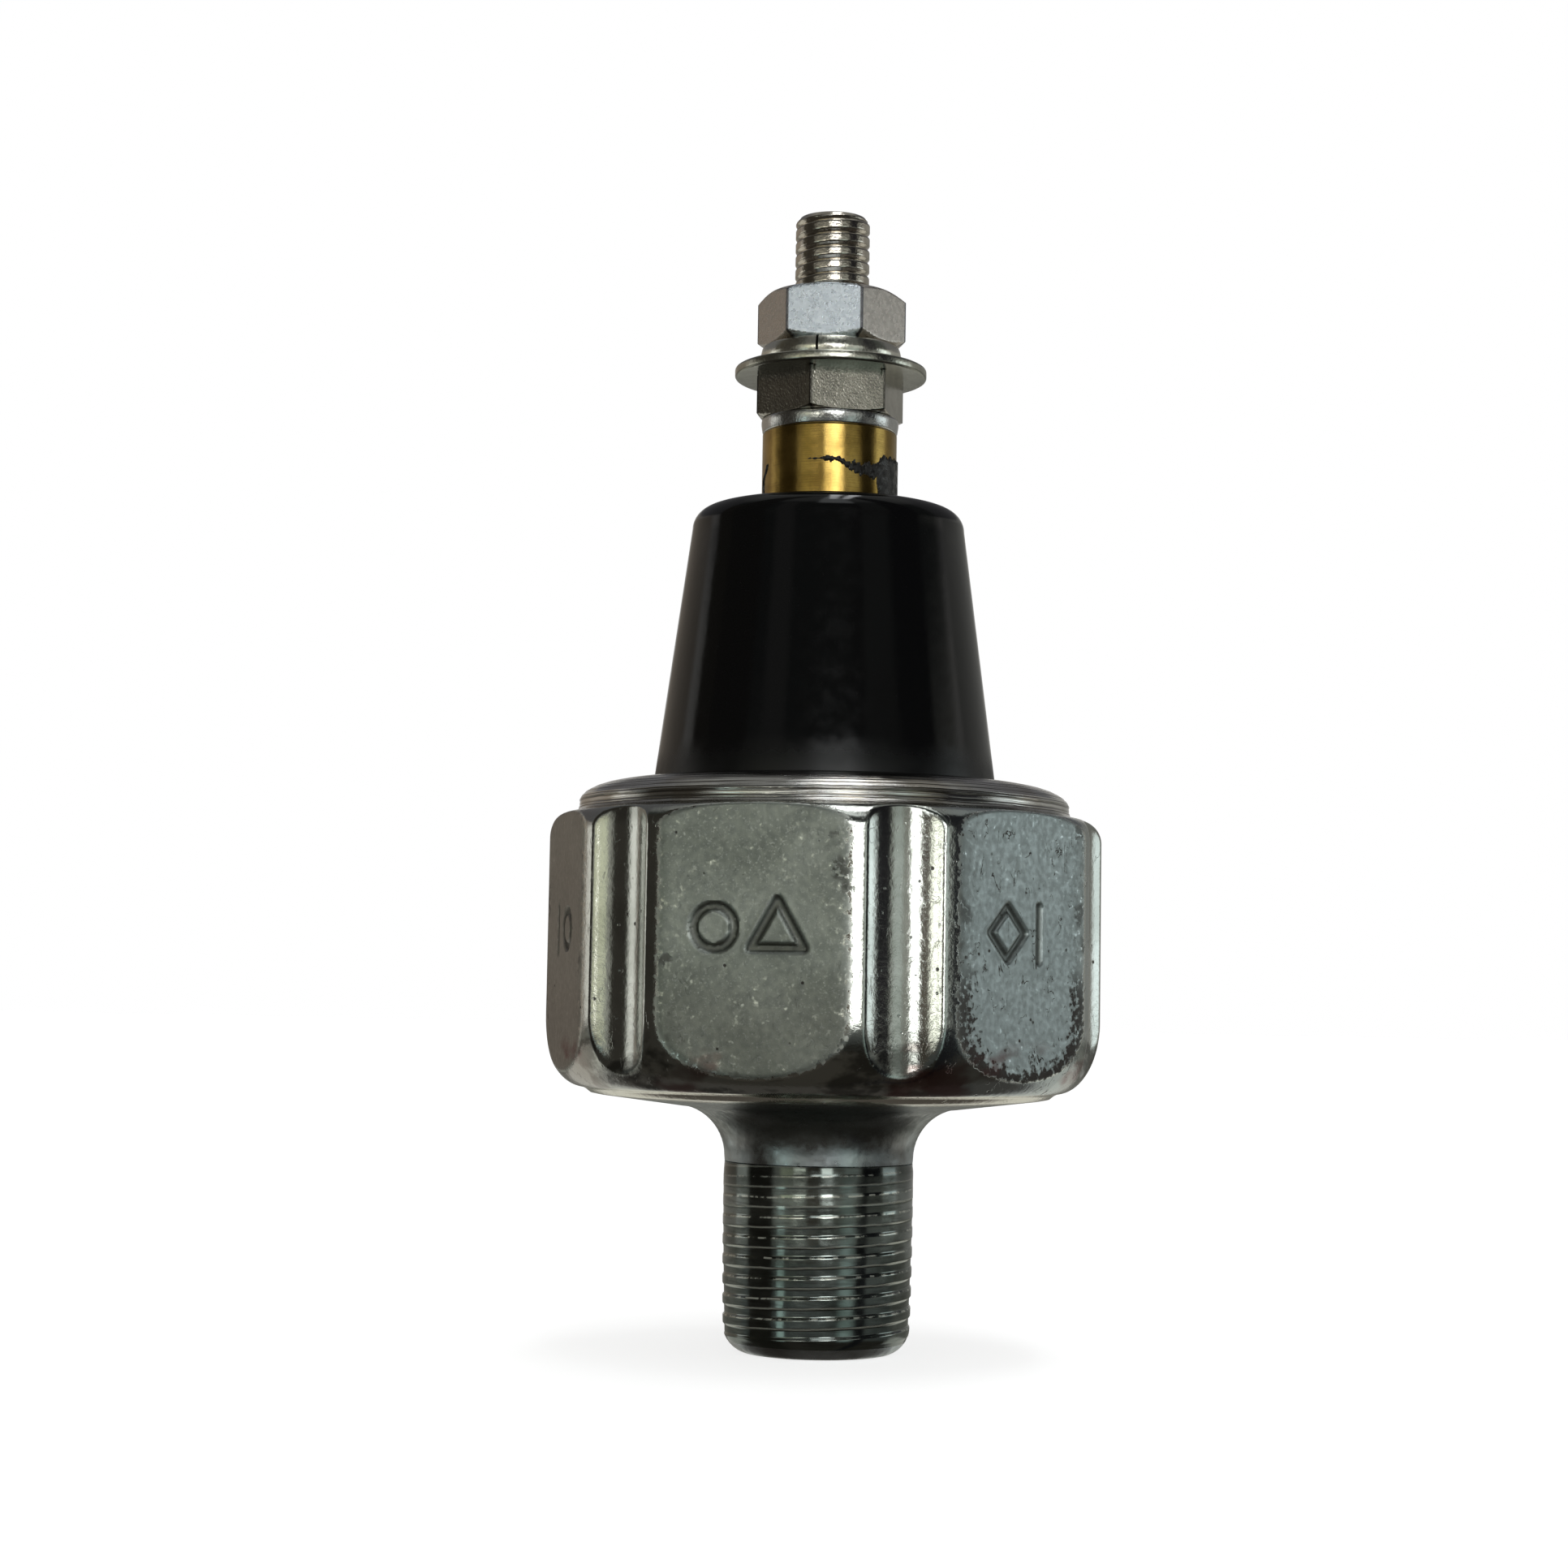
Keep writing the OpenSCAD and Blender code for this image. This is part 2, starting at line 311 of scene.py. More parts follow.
class Surface(Nodes):
    """A procedural material. Its places are object coordinates in millimetres."""

    def __init__(self, name, metallic=1.0, **inputs):
        self.material = bpy.data.materials.new(name)
        self.material.use_nodes = True
        super().__init__(self.material.node_tree)
        self.shader = self.tree.nodes["Principled BSDF"]
        self.shader.inputs["Metallic"].default_value = metallic
        for key, value in inputs.items():
            self.shader.inputs[key.replace("_", " ")].default_value = value
        place = self.node("ShaderNodeTexCoord").outputs["Object"]
        self.place = self.vector("MULTIPLY", place, (1 / MM,) * 3)
        x, y, self.height = self.split(self.place)
        self.angle = self.math("ARCTAN2", y, x)
        self.distance = self.math("SQRT", self.add(self.times(x, x), self.times(y, y)))

    def stretched(self, x, y, z):
        return self.vector("MULTIPLY", self.place, (x, y, z))

    def shaken(self, scale, amount):
        """Places shifted at random by up to amount millimetres."""
        shift = self.texture("ShaderNodeTexNoise", scale).outputs["Color"]
        return self.vector("ADD", self.place, self.vector("MULTIPLY", shift, (amount,) * 3))

    def texture(self, kind, scale, place=None):
        node = self.node(kind)
        self.feed(node.inputs["Vector"], place or self.place)
        self.feed(node.inputs["Scale"], scale)
        return node

    def noise(self, scale, detail, place=None, distortion=0.0):
        node = self.texture("ShaderNodeTexNoise", scale, place)
        self.feed(node.inputs["Detail"], detail)
        self.feed(node.inputs["Distortion"], distortion)
        return node.outputs["Fac"]

    def cells(self, scale, output="Distance", place=None):
        return self.texture("ShaderNodeTexVoronoi", scale, place).outputs[output]

    def facing(self, degrees, low, high):
        """0 to 1 as the cosine of the angle from an azimuth goes from low to high."""
        away = self.minus(self.angle, math.radians(degrees))
        return self.span(self.math("COSINE", away), low, high)

    def colour(self, value):
        self.feed(self.shader.inputs["Base Color"], value)

    def roughness(self, value):
        self.feed(self.shader.inputs["Roughness"], value)

    def bump(self, height, distance, strength=1.0):
        """Adds relief; distance is the height of a step from 0 to 1, in millimetres."""
        node = self.node("ShaderNodeBump")
        self.feed(node.inputs["Height"], height)
        node.inputs["Distance"].default_value = distance * MM
        node.inputs["Strength"].default_value = strength
        normal = self.shader.inputs["Normal"]
        if normal.is_linked:
            self.feed(node.inputs["Normal"], normal.links[0].from_socket)
        self.feed(normal, node.outputs["Normal"])


def hexagon_zones(s):
    """How deep a point lies under its flat's plane and inside the turned blank, both in mm,
    and its angle from the flat's centre."""
    from_flat = s.minus(s.math("FLOORED_MODULO", s.angle, SIXTH), SIXTH / 2)
    flat_gap = s.minus(APOTHEM, s.times(s.distance, s.math("COSINE", from_flat)))
    low = s.math("DIVIDE", s.minus(SHOULDER_TOP, s.height), SHOULDER_TOP - RIM[1])
    low = s.most(low, 0.0)
    round_off = s.math("SQRT", s.most(s.minus(1.0, s.times(low, low)), 0.0))
    blank = s.add(RIM[0], s.times(round_off, BLANK_R - RIM[0]))
    return flat_gap, s.minus(blank, s.distance), s.math("ABSOLUTE", from_flat)


def satin_tone(s, cloud):
    """The flats: mottled satin plating, darker towards the shoulder."""
    tone = s.mix(s.span(cloud, 0.32, 0.68), (0.305, 0.33, 0.30), (0.42, 0.45, 0.415))
    tone = s.mix(s.span(s.noise(9, 4), 0.55, 0.75), tone, (0.54, 0.57, 0.54))
    return s.mix(s.span(s.height, 20.5, SHOULDER_TOP - 0.4, 0.0, 0.5), tone, (0.20, 0.20, 0.18))


def bright_tone(s, cloud):
    """Flutes, corners and shoulder: bright plating, patchy below and darker at the crown."""
    tone = s.mix(s.span(cloud, 0.35, 0.65), (0.52, 0.54, 0.50), (0.68, 0.70, 0.66))
    patch = s.span(s.noise(0.42, 4, s.stretched(1, 1, 1.6)), 0.44, 0.56)
    patchy = s.mix(patch, (0.16, 0.165, 0.15), (0.62, 0.64, 0.60))
    tone = s.mix(s.span(s.height, SHOULDER_TOP + 0.1, 15.6, 0.0, 0.85), tone, patchy)
    return s.mix(s.span(s.height, CROWN[1], 26.7, 0.0, 0.55), tone, (0.33, 0.34, 0.31))


def zinc_marks(s, outline, ragged, on_flat, right_side):
    """Where the plating is worn off: the flats' outlines, hairline cracks and specks."""
    wear = s.span(s.add(outline, s.times(ragged, 0.5)), 0.26, 0.12)
    heavy = s.times(right_side, s.span(s.height, 20.0, 17.8, 0.12, 1.0))
    here_and_there = s.span(s.noise(0.5, 3), 0.55, 0.65, 0, 0.5)
    wear = s.times(s.times(wear, on_flat), s.most(here_and_there, heavy))
    vein = s.noise(0.9, 5, s.stretched(1.3, 1.3, 0.6), 0.8)
    vein = s.math("ABSOLUTE", s.minus(vein, 0.5))
    cracks = s.times(s.span(vein, 0.012, 0.004), s.span(s.noise(1.1, 3), 0.54, 0.62))
    cracks = s.times(cracks, s.most(right_side, 0.15))
    specks = s.times(s.span(s.cells(1.3), 0.13, 0.05), s.span(s.noise(0.35, 2), 0.5, 0.6))
    return s.most(s.most(wear, cracks), specks)


def zinc_plate():
    """Zinc on the hexagon: satin flats, bright flutes, worn outlines, stains and scars, with
    painted light: the right flat painted lighter as a reflection, the left one darker as shade,
    painted shade in the punch marks and painted highlights on the flats' edges and the rim.
    """
    s = Surface("zinc_plate")
    flat_gap, outline, aside = hexagon_zones(s)
    cloud, grain, fine = s.noise(0.3, 5), s.noise(3.2, 5), s.noise(16, 3)
    ragged = s.span(s.noise(3.6, 5), 0.2, 0.8, -0.5, 0.5)
    punched = s.times(s.span(aside, math.radians(14), math.radians(13)),
                      s.band(s.height, MARK_Z - 2.4, MARK_Z + 2.4, 0.2))
    on_flat = s.span(s.add(flat_gap, s.times(ragged, 0.13)), 0.09, 0.03)
    on_flat = s.most(on_flat, punched)
    right_side = s.facing(-30, 0.9, 0.97)
    marks = zinc_marks(s, outline, ragged, on_flat, right_side)

    tone = s.mix(on_flat, bright_tone(s, cloud), satin_tone(s, cloud))
    # Painted light: the flat on the right is painted lighter and bluer as a painted reflection,
    # and the flat on the left darker and browner as painted shade.
    tone = s.mix(s.times(right_side, 0.7), tone, (0.58, 0.655, 0.66))
    tone = s.mix(s.times(s.facing(-150, 0.9, 0.97), 0.55), tone, (0.40, 0.33, 0.29))
    # Painted shade: the punch marks' strokes are painted dark, darker where the cut is deeper.
    deep = s.times(punched, s.span(flat_gap, 0.02, 0.11))
    tone = s.mix(s.times(deep, 0.7), tone, (0.12, 0.12, 0.105))
    # Painted highlight: a light band along the rounded edges of the flats, left out over the
    # punch marks.
    edge_highlight = s.times(s.band(flat_gap, 0.05, 0.10, 0.025), s.minus(0.7, s.times(punched, 0.7)))
    tone = s.mix(edge_highlight, tone, (0.84, 0.86, 0.80))
    tone = s.mix(s.times(marks, 0.85), tone, (0.10, 0.075, 0.065))
    stain = s.times(s.span(s.noise(0.24, 3, s.stretched(1, 1, 2)), 0.54, 0.66),
                    s.span(s.height, 16.2, 15.0))
    tone = s.mix(s.times(stain, 0.75), tone, (0.20, 0.085, 0.08))
    # Painted highlight: a pale line along the lower edge of the rim.
    rim = s.span(s.height, RIM[1] + 0.14, RIM[1] + 0.04)
    s.colour(s.mix(rim, tone, (0.95, 0.92, 0.80)))

    smooth = s.span(fine, 0.3, 0.7, 0.08, 0.16)
    dull = s.span(grain, 0.3, 0.7, 0.40, 0.54)
    rough = s.add(smooth, s.times(on_flat, s.minus(dull, smooth)))
    s.roughness(s.add(rough, s.times(marks, 0.3)))
    s.bump(grain, 0.012)
    s.bump(fine, 0.003)
    s.bump(marks, -0.02)
    return s.material


def turned_steel():
    """The rolled lip: bright, with the tool's rings and some tarnish."""
    s = Surface("turned_lip_steel")
    along = s.minus(s.height, s.distance)
    wander = s.times(s.noise(0.3, 2), 0.25)
    rings = s.noise(7, 4, s.joined(s.add(along, wander), 0.0, 0.0))
    tarnish = s.span(s.noise(0.35, 4), 0.45, 0.7)
    tone = s.mix(s.span(rings, 0.40, 0.56), (0.20, 0.19, 0.175), (0.90, 0.89, 0.86))
    s.colour(s.mix(s.times(tarnish, 0.45), tone, (0.34, 0.27, 0.17)))
    s.roughness(s.span(rings, 0.3, 0.7, 0.07, 0.15))
    s.bump(rings, 0.035)
    s.bump(s.noise(2.2, 2, s.joined(along, 3.0, 0.0)), 0.07)
    return s.material


def neck_steel():
    """The neck and fillet: dull plating, with painted shade towards the underside and a painted
    highlight on one side.
    """
    s = Surface("neck_steel")
    cloud = s.noise(0.28, 3, s.stretched(1, 1, 1.5))
    shade = s.span(s.height, THREAD_TOP + 0.9, THREAD_TOP + 2.0)
    # Painted highlight: a bright soft spot right of the camera's side, just above the thread.
    highlight_spot = s.times(s.band(s.angle, math.radians(-58), math.radians(-45), math.radians(9)),
                   s.band(s.height, THREAD_TOP - 0.5, THREAD_TOP + 0.75, 0.45))
    tone = s.mix(s.span(cloud, 0.34, 0.64), (0.27, 0.27, 0.265), (0.62, 0.68, 0.70))
    tone = s.mix(s.times(highlight_spot, 0.85), tone, (0.88, 0.92, 0.90))
    # Painted shade: darker towards the fillet under the body.
    s.colour(s.mix(s.times(shade, 0.75), tone, (0.11, 0.125, 0.11)))
    s.roughness(s.span(s.noise(3, 3), 0.3, 0.7, 0.27, 0.4))
    s.bump(s.noise(1.2, 3), 0.03)
    return s.material


def thread_steel():
    """The port thread: dark plating with thin light lines painted along both crest edges as
    highlights, and painted shade at its run-out under the neck.
    """
    s = Surface("thread_steel")
    turns = s.math("DIVIDE", s.minus(s.height, PORT_LOW), PORT_PITCH)
    turns = s.minus(turns, s.math("DIVIDE", s.angle, TAU))
    uneven = s.span(s.noise(0.8, 2), 0, 1, -0.03, 0.03)
    phase = s.math("FLOORED_MODULO", s.add(turns, uneven), 1.0)
    broken = s.span(s.noise(2.2, 4, s.stretched(1, 1, 0.4)), 0.42, 0.58)
    # Painted highlights: light lines along both crest edges, made less metallic so they stay
    # light.
    upper = s.times(s.band(phase, 0.69, 0.775, 0.025), broken)
    lower = s.times(s.band(phase, 0.20, 0.30, 0.03), 0.7)
    shine = s.times(s.most(upper, lower), s.span(s.height, 1.0, 1.6))
    streaks = s.span(s.noise(2.4, 3, s.stretched(0.25, 0.25, 3)), 0.5, 0.65)
    tone = s.mix(s.span(s.noise(0.5, 4), 0.35, 0.65), (0.15, 0.17, 0.155), (0.27, 0.30, 0.285))
    tone = s.mix(s.times(streaks, 0.4), tone, (0.09, 0.09, 0.085))
    tone = s.mix(shine, tone, (0.72, 0.73, 0.65))
    # Painted shade: darker towards the run-out under the neck.
    run_out = s.span(s.height, THREAD_TOP - 1.5, THREAD_TOP - 0.6, 0.0, 0.6)
    s.colour(s.mix(run_out, tone, (0.07, 0.08, 0.075)))
    s.feed(s.shader.inputs["Metallic"], s.span(shine, 0, 1, 1.0, 0.3))
    s.roughness(s.span(s.noise(2, 3), 0.3, 0.7, 0.09, 0.15))
    s.bump(s.noise(1.5, 3), 0.006)
    return s.material


def phenolic():
    """Polished black moulding with a faint waviness, duller at its foot."""
    s = Surface("black_phenolic", 0.0, Specular_IOR_Level=0.42)
    dust = s.span(s.noise(14, 2), 0.72, 0.78)
    s.colour(s.mix(dust, (0.006, 0.006, 0.0065), (0.03, 0.03, 0.03)))
    foot = s.span(s.height, BODY_Z[1] + 2.2, BODY_Z[1] + 0.4, 0.0, 0.25)
    s.roughness(s.add(s.span(s.noise(1.4, 3), 0.3, 0.7, 0.07, 0.13), foot))
    s.bump(s.noise(0.6, 2), 0.012)
    return s.material


def brass():
    """Turned brass, a little tarnished."""
    s = Surface("turned_brass")
    rings = s.noise(14, 2, s.joined(0.0, 0.0, s.height))
    tarnish = s.span(s.noise(0.7, 4), 0.35, 0.7)
    s.colour(s.mix(tarnish, (0.53, 0.355, 0.10), (0.32, 0.205, 0.052)))
    s.roughness(s.span(rings, 0.3, 0.7, 0.18, 0.22))
    s.bump(rings, 0.004)
    s.bump(s.noise(1.3, 4, s.stretched(1, 1, 0.5)), 0.012)
    return s.material


def plated(name, colour, roughness, turn=None):
    """Small plated hardware: fine grain and a slight change of tone. turn is given for nuts,
    whose corners get painted shade as darker lines."""
    s = Surface(name)
    grain = s.noise(8, 3)
    dark = tuple(c * 0.78 for c in colour)
    tone = s.mix(s.span(s.noise(0.9, 3), 0.3, 0.7), dark, colour)
    if turn is not None:
        # Painted shade: dark lines along the nut's corners.
        tone = s.mix(nut_corner(s, turn), tone, tuple(c * 0.3 for c in colour))
    s.colour(tone)
    s.roughness(s.span(grain, 0.3, 0.7, roughness * 0.8, roughness * 1.25))
    s.bump(grain, 0.01)
    return s.material


def nut_corner(s, turn):
    """1 along the six corners of a nut turned by so many degrees."""
    away = s.math("FLOORED_MODULO", s.minus(s.angle, math.radians(turn)), SIXTH)
    to_corner = s.math("MINIMUM", away, s.minus(SIXTH, away))
    return s.span(s.times(to_corner, s.distance), 0.12, 0.05)


def crystal_zinc(turn):
    """The upper nut: zinc whose small crystals each catch the light their own way. One face is
    painted brighter and bluer as a reflection, the others a little browner as shade, and painted
    shade darkens the corners."""
    s = Surface("crystal_zinc")
    red, green, blue = s.split(s.cells(6.5, "Color", s.shaken(4, 0.12)))
    lit_face = s.facing(turn - 90, 0.855, 0.875)
    # Painted reflection: the face turned to the window is painted brighter and bluer, the other
    # faces darker and browner.
    tone = s.mix(lit_face, s.mix(red, (0.60, 0.55, 0.50), (0.67, 0.62, 0.57)),
                 s.mix(red, (0.70, 0.76, 0.83), (0.88, 0.94, 1.0)))
    # Painted shade: dark lines along the nut's corners.
    s.colour(s.mix(nut_corner(s, turn), tone, (0.16, 0.16, 0.17)))
    s.roughness(s.span(green, 0, 1, 0.24, 0.42))
    relief = s.span(lit_face, 0, 1, 0.15, 1.0)
    s.bump(s.times(blue, relief), 0.0045)
    s.bump(s.times(s.noise(9, 3), relief), 0.004)
    return s.material


def washer_zinc():
    """The two washers: painted brighter from the flat washer's top upwards as a highlight, and
    dull with painted shade underneath.
    """
    s = Surface("washer_zinc")
    under = s.span(s.height, WASHER_Z[0] + 0.16, WASHER_Z[0] + 0.04)
    upper = s.span(s.height, WASHER_Z[1] - 0.1, WASHER_Z[1] + 0.1)
    tone = s.mix(s.span(s.noise(0.9, 3), 0.3, 0.7), (0.46, 0.45, 0.38), (0.64, 0.63, 0.55))
    # Painted shade: the flat washer's underside is painted dark.
    tone = s.mix(s.times(under, 0.65), tone, (0.16, 0.165, 0.14))
    # Painted highlight: painted brighter from the flat washer's top face upwards, over the lock
    # washer.
    s.colour(s.mix(upper, tone, (0.84, 0.82, 0.72)))
    grain = s.noise(7, 3)
    s.roughness(s.span(grain, 0.3, 0.7, 0.16, 0.27))
    s.bump(grain, 0.008)
    return s.material


def plain(name, colour, roughness, metallic=0.0, scale=3.0):
    """Quiet surfaces of the sealed pieces: a mottled tone and a light grain."""
    s = Surface(name, metallic, Roughness=roughness)
    dark = tuple(c * 0.75 for c in colour)
    light = tuple(min(1, c * 1.15) for c in colour)
    s.colour(s.mix(s.noise(scale, 3), dark, light))
    s.bump(s.noise(scale * 4, 2), 0.01)
    return s.material


def lacquer_film():
    """Dried black sealing lacquer, lumpy and half glossy."""
    s = Surface("sealing_lacquer", 0.0)
    lumps = s.noise(2.5, 4)
    s.roughness(s.span(lumps, 0.35, 0.65, 0.22, 0.6))
    s.colour(s.mix(lumps, (0.012, 0.011, 0.01), (0.04, 0.037, 0.034)))
    s.bump(lumps, 0.08)
    return s.material


# ---- The hexagon body

# Turned blank, before its flats and flutes are cut
BLANK_R = 14.25
FLUTE_CENTRE_R = 16.7
FLUTE_R = 3.2
FLAT_EDGE_ROUND = 0.16
FLUTE_EDGE_ROUND = 0.14
THREAD_TOP = 9.6
NECK_R = 4.83
NECK_FILLET = 2.6
UNDERSIDE_Z = 12.45
# Points of the outline as (radius, height)
RIM_INNER = (11.4, 12.95)
RIM = (12.1, 13.3)
SHOULDER_TOP = 16.9
CROWN = (13.15, 26.0)
CROWN_H = 1.15
# Rolled lip over the insulator's flange
LIP_FOOT = (12.95, 27.2)
LIP_ARC_R = 9.7
LIP_R = 12.62
LIP_WALL = (27.4, 27.8)
LIP_LEAN = 0.03
LIP_STEP = 0.03
LIP_SEED = 4
LIP_INNER_R = 8.83
# Sealed cavity, seal groove and oil passage
FLOOR_Z = 17.0
CAVITY_R = 11.4
CAVITY_TOP = 27.6
SEAL_GROOVE = (9.1, 10.7)
SEAL_GROOVE_Z = 15.5
RECESS_R = 8.0
RECESS_Z = 16.5
PASSAGE_R = 1.6
PASSAGE_TOP = 13.0
ORIFICE_R = 0.5
# Punch marks in the middle of three flats
MARK_Z = 21.2
MARK_HALF = 2.1
MARK_HALF_ANGLE = 18
MARK_STROKE = 0.2
MARK_DEPTH = 0.15
MARK_BURR = 0.02
FIRST_FLAT = -150
MARKED_FLATS = (0, 1, 2)


def segment_distance(x, y, a, b):
    """Distance from points to the segment from a to b."""
    ax, ay = a
    dx, dy = b[0] - ax, b[1] - ay
    t = np.clip(((x - ax) * dx + (y - ay) * dy) / (dx * dx + dy * dy), 0, 1)
    return np.hypot(x - ax - t * dx, y - ay - t * dy)


def ring_mark(x, y, centre, radius):
    """Distance to a circle's outline."""
    return np.abs(np.hypot(x - centre[0], y - centre[1]) - radius)


def polygon_mark(x, y, centre, radius, sides):
    """Distance to the outline of a regular polygon with a corner at the top."""
    turns = [TAU / 4 + TAU * k / sides for k in range(sides)]
    corners = [(centre[0] + radius * math.cos(a), centre[1] + radius * math.sin(a))
               for a in turns]
    edges = [segment_distance(x, y, corners[k - 1], corners[k]) for k in range(sides)]
    return np.minimum.reduce(edges)


def mark_distance(flat, x, y):
    """Distance to the inspection punch marks of a flat: 0 left, 1 front, 2 right."""
    if flat == 1:
        return np.minimum(ring_mark(x, y, (-1.9, 0), 1.0),
                          polygon_mark(x, y, (1.2, -0.2), 1.5, 3))
    if flat == 2:
        return np.minimum(polygon_mark(x, y, (-1.2, 0), 1.25, 4),
                          segment_distance(x, y, (1.1, -1.3), (1.1, 1.3)))
    return np.minimum(ring_mark(x, y, (1.0, 0), 0.9),
                      segment_distance(x, y, (-1.3, -1.1), (-1.3, 1.1)))


def stamped(angle, height):
    """Depth of the punch marks over the marked flats."""
    depth = 0.0
    for flat in MARKED_FLATS:
        facing = math.radians(FIRST_FLAT + 60 * flat)
        away = (angle - facing + math.pi) % TAU - math.pi
        on_flat = np.abs(away) < math.radians(MARK_HALF_ANGLE)
        x = APOTHEM * np.tan(np.where(on_flat, away, 0))
        distance = mark_distance(flat, x, height - MARK_Z)
        cut = smooth_step(distance, MARK_STROKE + 0.06, MARK_STROKE - 0.08) * MARK_DEPTH
        burr = np.exp(-((distance - MARK_STROKE - 0.14) / 0.07) ** 2) * MARK_BURR
        depth = depth + np.where(on_flat, cut - burr, 0)
    return depth


def body_warp(angle, radius, height):
    """Cuts the flats, flutes and marks into the turned blank."""
    outside = radius > RIM[0] - 0.3
    outside &= (height > RIM[1] - 0.2) & (height < CROWN[1] + CROWN_H + 0.3)
    from_corner = angle % SIXTH
    flat = APOTHEM / np.cos(from_corner - SIXTH / 2)
    from_corner = np.minimum(from_corner, SIXTH - from_corner)
    sine = np.clip(FLUTE_CENTRE_R * np.sin(from_corner) / FLUTE_R, -1, 1)
    flute = FLUTE_CENTRE_R * np.cos(from_corner) - FLUTE_R * np.sqrt(1 - sine ** 2)
    flute = np.where(np.abs(sine) >= 1, FLUTE_CENTRE_R, flute)
    cut = soft_min(soft_min(radius, flat, FLAT_EDGE_ROUND), flute, FLUTE_EDGE_ROUND)
    return np.where(outside, cut - stamped(angle, height), radius), height


def lip_path():
    """The rolled lip from its foot to its inner edge, with shallow tool steps."""
    wall_low, wall_high = LIP_WALL
    top_r = LIP_R - LIP_LEAN
    path = line((LIP_R, wall_low), (top_r, wall_high), 7)
    path += arc((LIP_ARC_R, wall_high), top_r - LIP_ARC_R, BODY_Z[1] - wall_high, 0, 90, 52)[1:]
    path += line(path[-1], (LIP_INNER_R + 0.45, BODY_Z[1] - 0.04), 8)[1:]
    rng = np.random.default_rng(LIP_SEED)
    steps = np.convolve(rng.normal(0, LIP_STEP, len(path) + 2), (0.25, 0.5, 0.25), "valid")
    centre_r, centre_z = 9.5, 25.5
    bent = []
    for (r, z), step in zip(path, steps):
        out = math.atan2(z - centre_z, r - centre_r)
        bent.append((r + step * math.cos(out), z - abs(step) * math.sin(out)))
    return bent


def outer_path():
    """The body's outside from the neck up to the lip's foot."""
    fillet = (NECK_R + NECK_FILLET, UNDERSIDE_Z - NECK_FILLET)
    marks_low, marks_high = MARK_Z - MARK_HALF, MARK_Z + MARK_HALF
    path = [(NECK_R - 0.12, THREAD_TOP), (NECK_R - 0.02, THREAD_TOP + 0.05)]
    path += arc(fillet, NECK_FILLET, NECK_FILLET, 180, 90, 14)
    path += line((fillet[0] + 0.3, UNDERSIDE_Z + 0.04), RIM_INNER, 4)
    path += [(RIM[0] - 0.35, RIM[1] - 0.28), (RIM[0] - 0.12, RIM[1] - 0.1)]
    path += arc((RIM[0], SHOULDER_TOP), BLANK_R - RIM[0], SHOULDER_TOP - RIM[1], -88, 0, 40)
    path += line((BLANK_R, SHOULDER_TOP + 0.5), (BLANK_R, marks_low), 4)
    path += line((BLANK_R, marks_low), (BLANK_R, marks_high), 40)[1:]
    path += line((BLANK_R, marks_high), (BLANK_R, CROWN[1] - 0.2), 6)[1:]
    path += arc(CROWN, BLANK_R - CROWN[0], CROWN_H, 0, 88, 16)
    return path + [(12.9, 27.22), (12.72, 27.3), (12.64, 27.42)]


def inner_path():
    """The inside from the lip's inner edge down to the oil passage's lower end."""
    groove_in, groove_out = SEAL_GROOVE
    return [(LIP_INNER_R + 0.18, BODY_Z[1] - 0.1), (LIP_INNER_R + 0.03, BODY_Z[1] - 0.22),
            (LIP_INNER_R, BODY_Z[1] - 0.4), (LIP_INNER_R, CAVITY_TOP), (CAVITY_R, CAVITY_TOP),
            (CAVITY_R, FLOOR_Z), (groove_out, FLOOR_Z), (groove_out, SEAL_GROOVE_Z),
            (groove_in, SEAL_GROOVE_Z), (groove_in, FLOOR_Z), (RECESS_R, FLOOR_Z),
            (RECESS_R, RECESS_Z), (ORIFICE_R, RECESS_Z), (ORIFICE_R, PASSAGE_TOP),
            (PASSAGE_R, PASSAGE_TOP), (PASSAGE_R, THREAD_TOP)]


def body_angles():
    """Columns close together at the edges of flats and flutes, and over the marks."""
    edge = math.degrees(math.acos(APOTHEM / BLANK_R))
    flute_low, flute_high = 21.4, 23.6
    shared = [(edge - 1.1, edge + 0.9, 7), (edge + 0.9, flute_low, 2),
              (flute_low, flute_high, 7), (flute_high, 30, 6)]
    angles = []
    for flat in range(6):
        if flat in MARKED_FLATS:
            middle = [(0, 13.6, 30), (13.6, edge - 1.1, 3)]
        else:
            middle = [(0, edge - 1.1, 6)]
        angles += sextant(middle + shared, FIRST_FLAT + 60 * flat)
    return np.array(angles)


def make_body(zinc, lip, neck):
    """The body above its thread, all in one closed surface with three finishes."""
    path = outer_path() + lip_path() + inner_path()
    angles = body_angles()
    radius, height = body_warp(angles, *turned_grid(path, angles))
    quads = grid_quads(len(path), len(angles), close_rows=True)
    finish = [1 if z > LIP_FOOT[1] and r < LIP_FOOT[0] else 2 if z < UNDERSIDE_Z + 0.3 else 0
              for r, z in path]
    groups = np.repeat(finish, len(angles))
    return finish_mesh("switch_body_hexagon", grid_points(radius, height, angles), quads,
                       "housing", "switch_body", [zinc, lip, neck], 38, groups)


PORT_LOW = 0.62
PORT_PITCH = 1.0
PORT_CREST = 5.02
PORT_TAPER = 1 / 32
PORT_TOOTH = 0.09
# Where a tooth's flank starts and ends, as shares of half the pitch
PORT_FLANK = (0.66, 0.38)
END_R = 3.5
# Width and height of the rounded end
END_ROUND = (1.35, 1.7)


def end_radius(z):
    """Radius of the thread's rounded end, an elliptical arc that starts at z = 0."""
    left = 1 - np.minimum(z / END_ROUND[1], 1)
    return END_R + np.sqrt(np.maximum(1 - left ** 2, 0)) * END_ROUND[0]


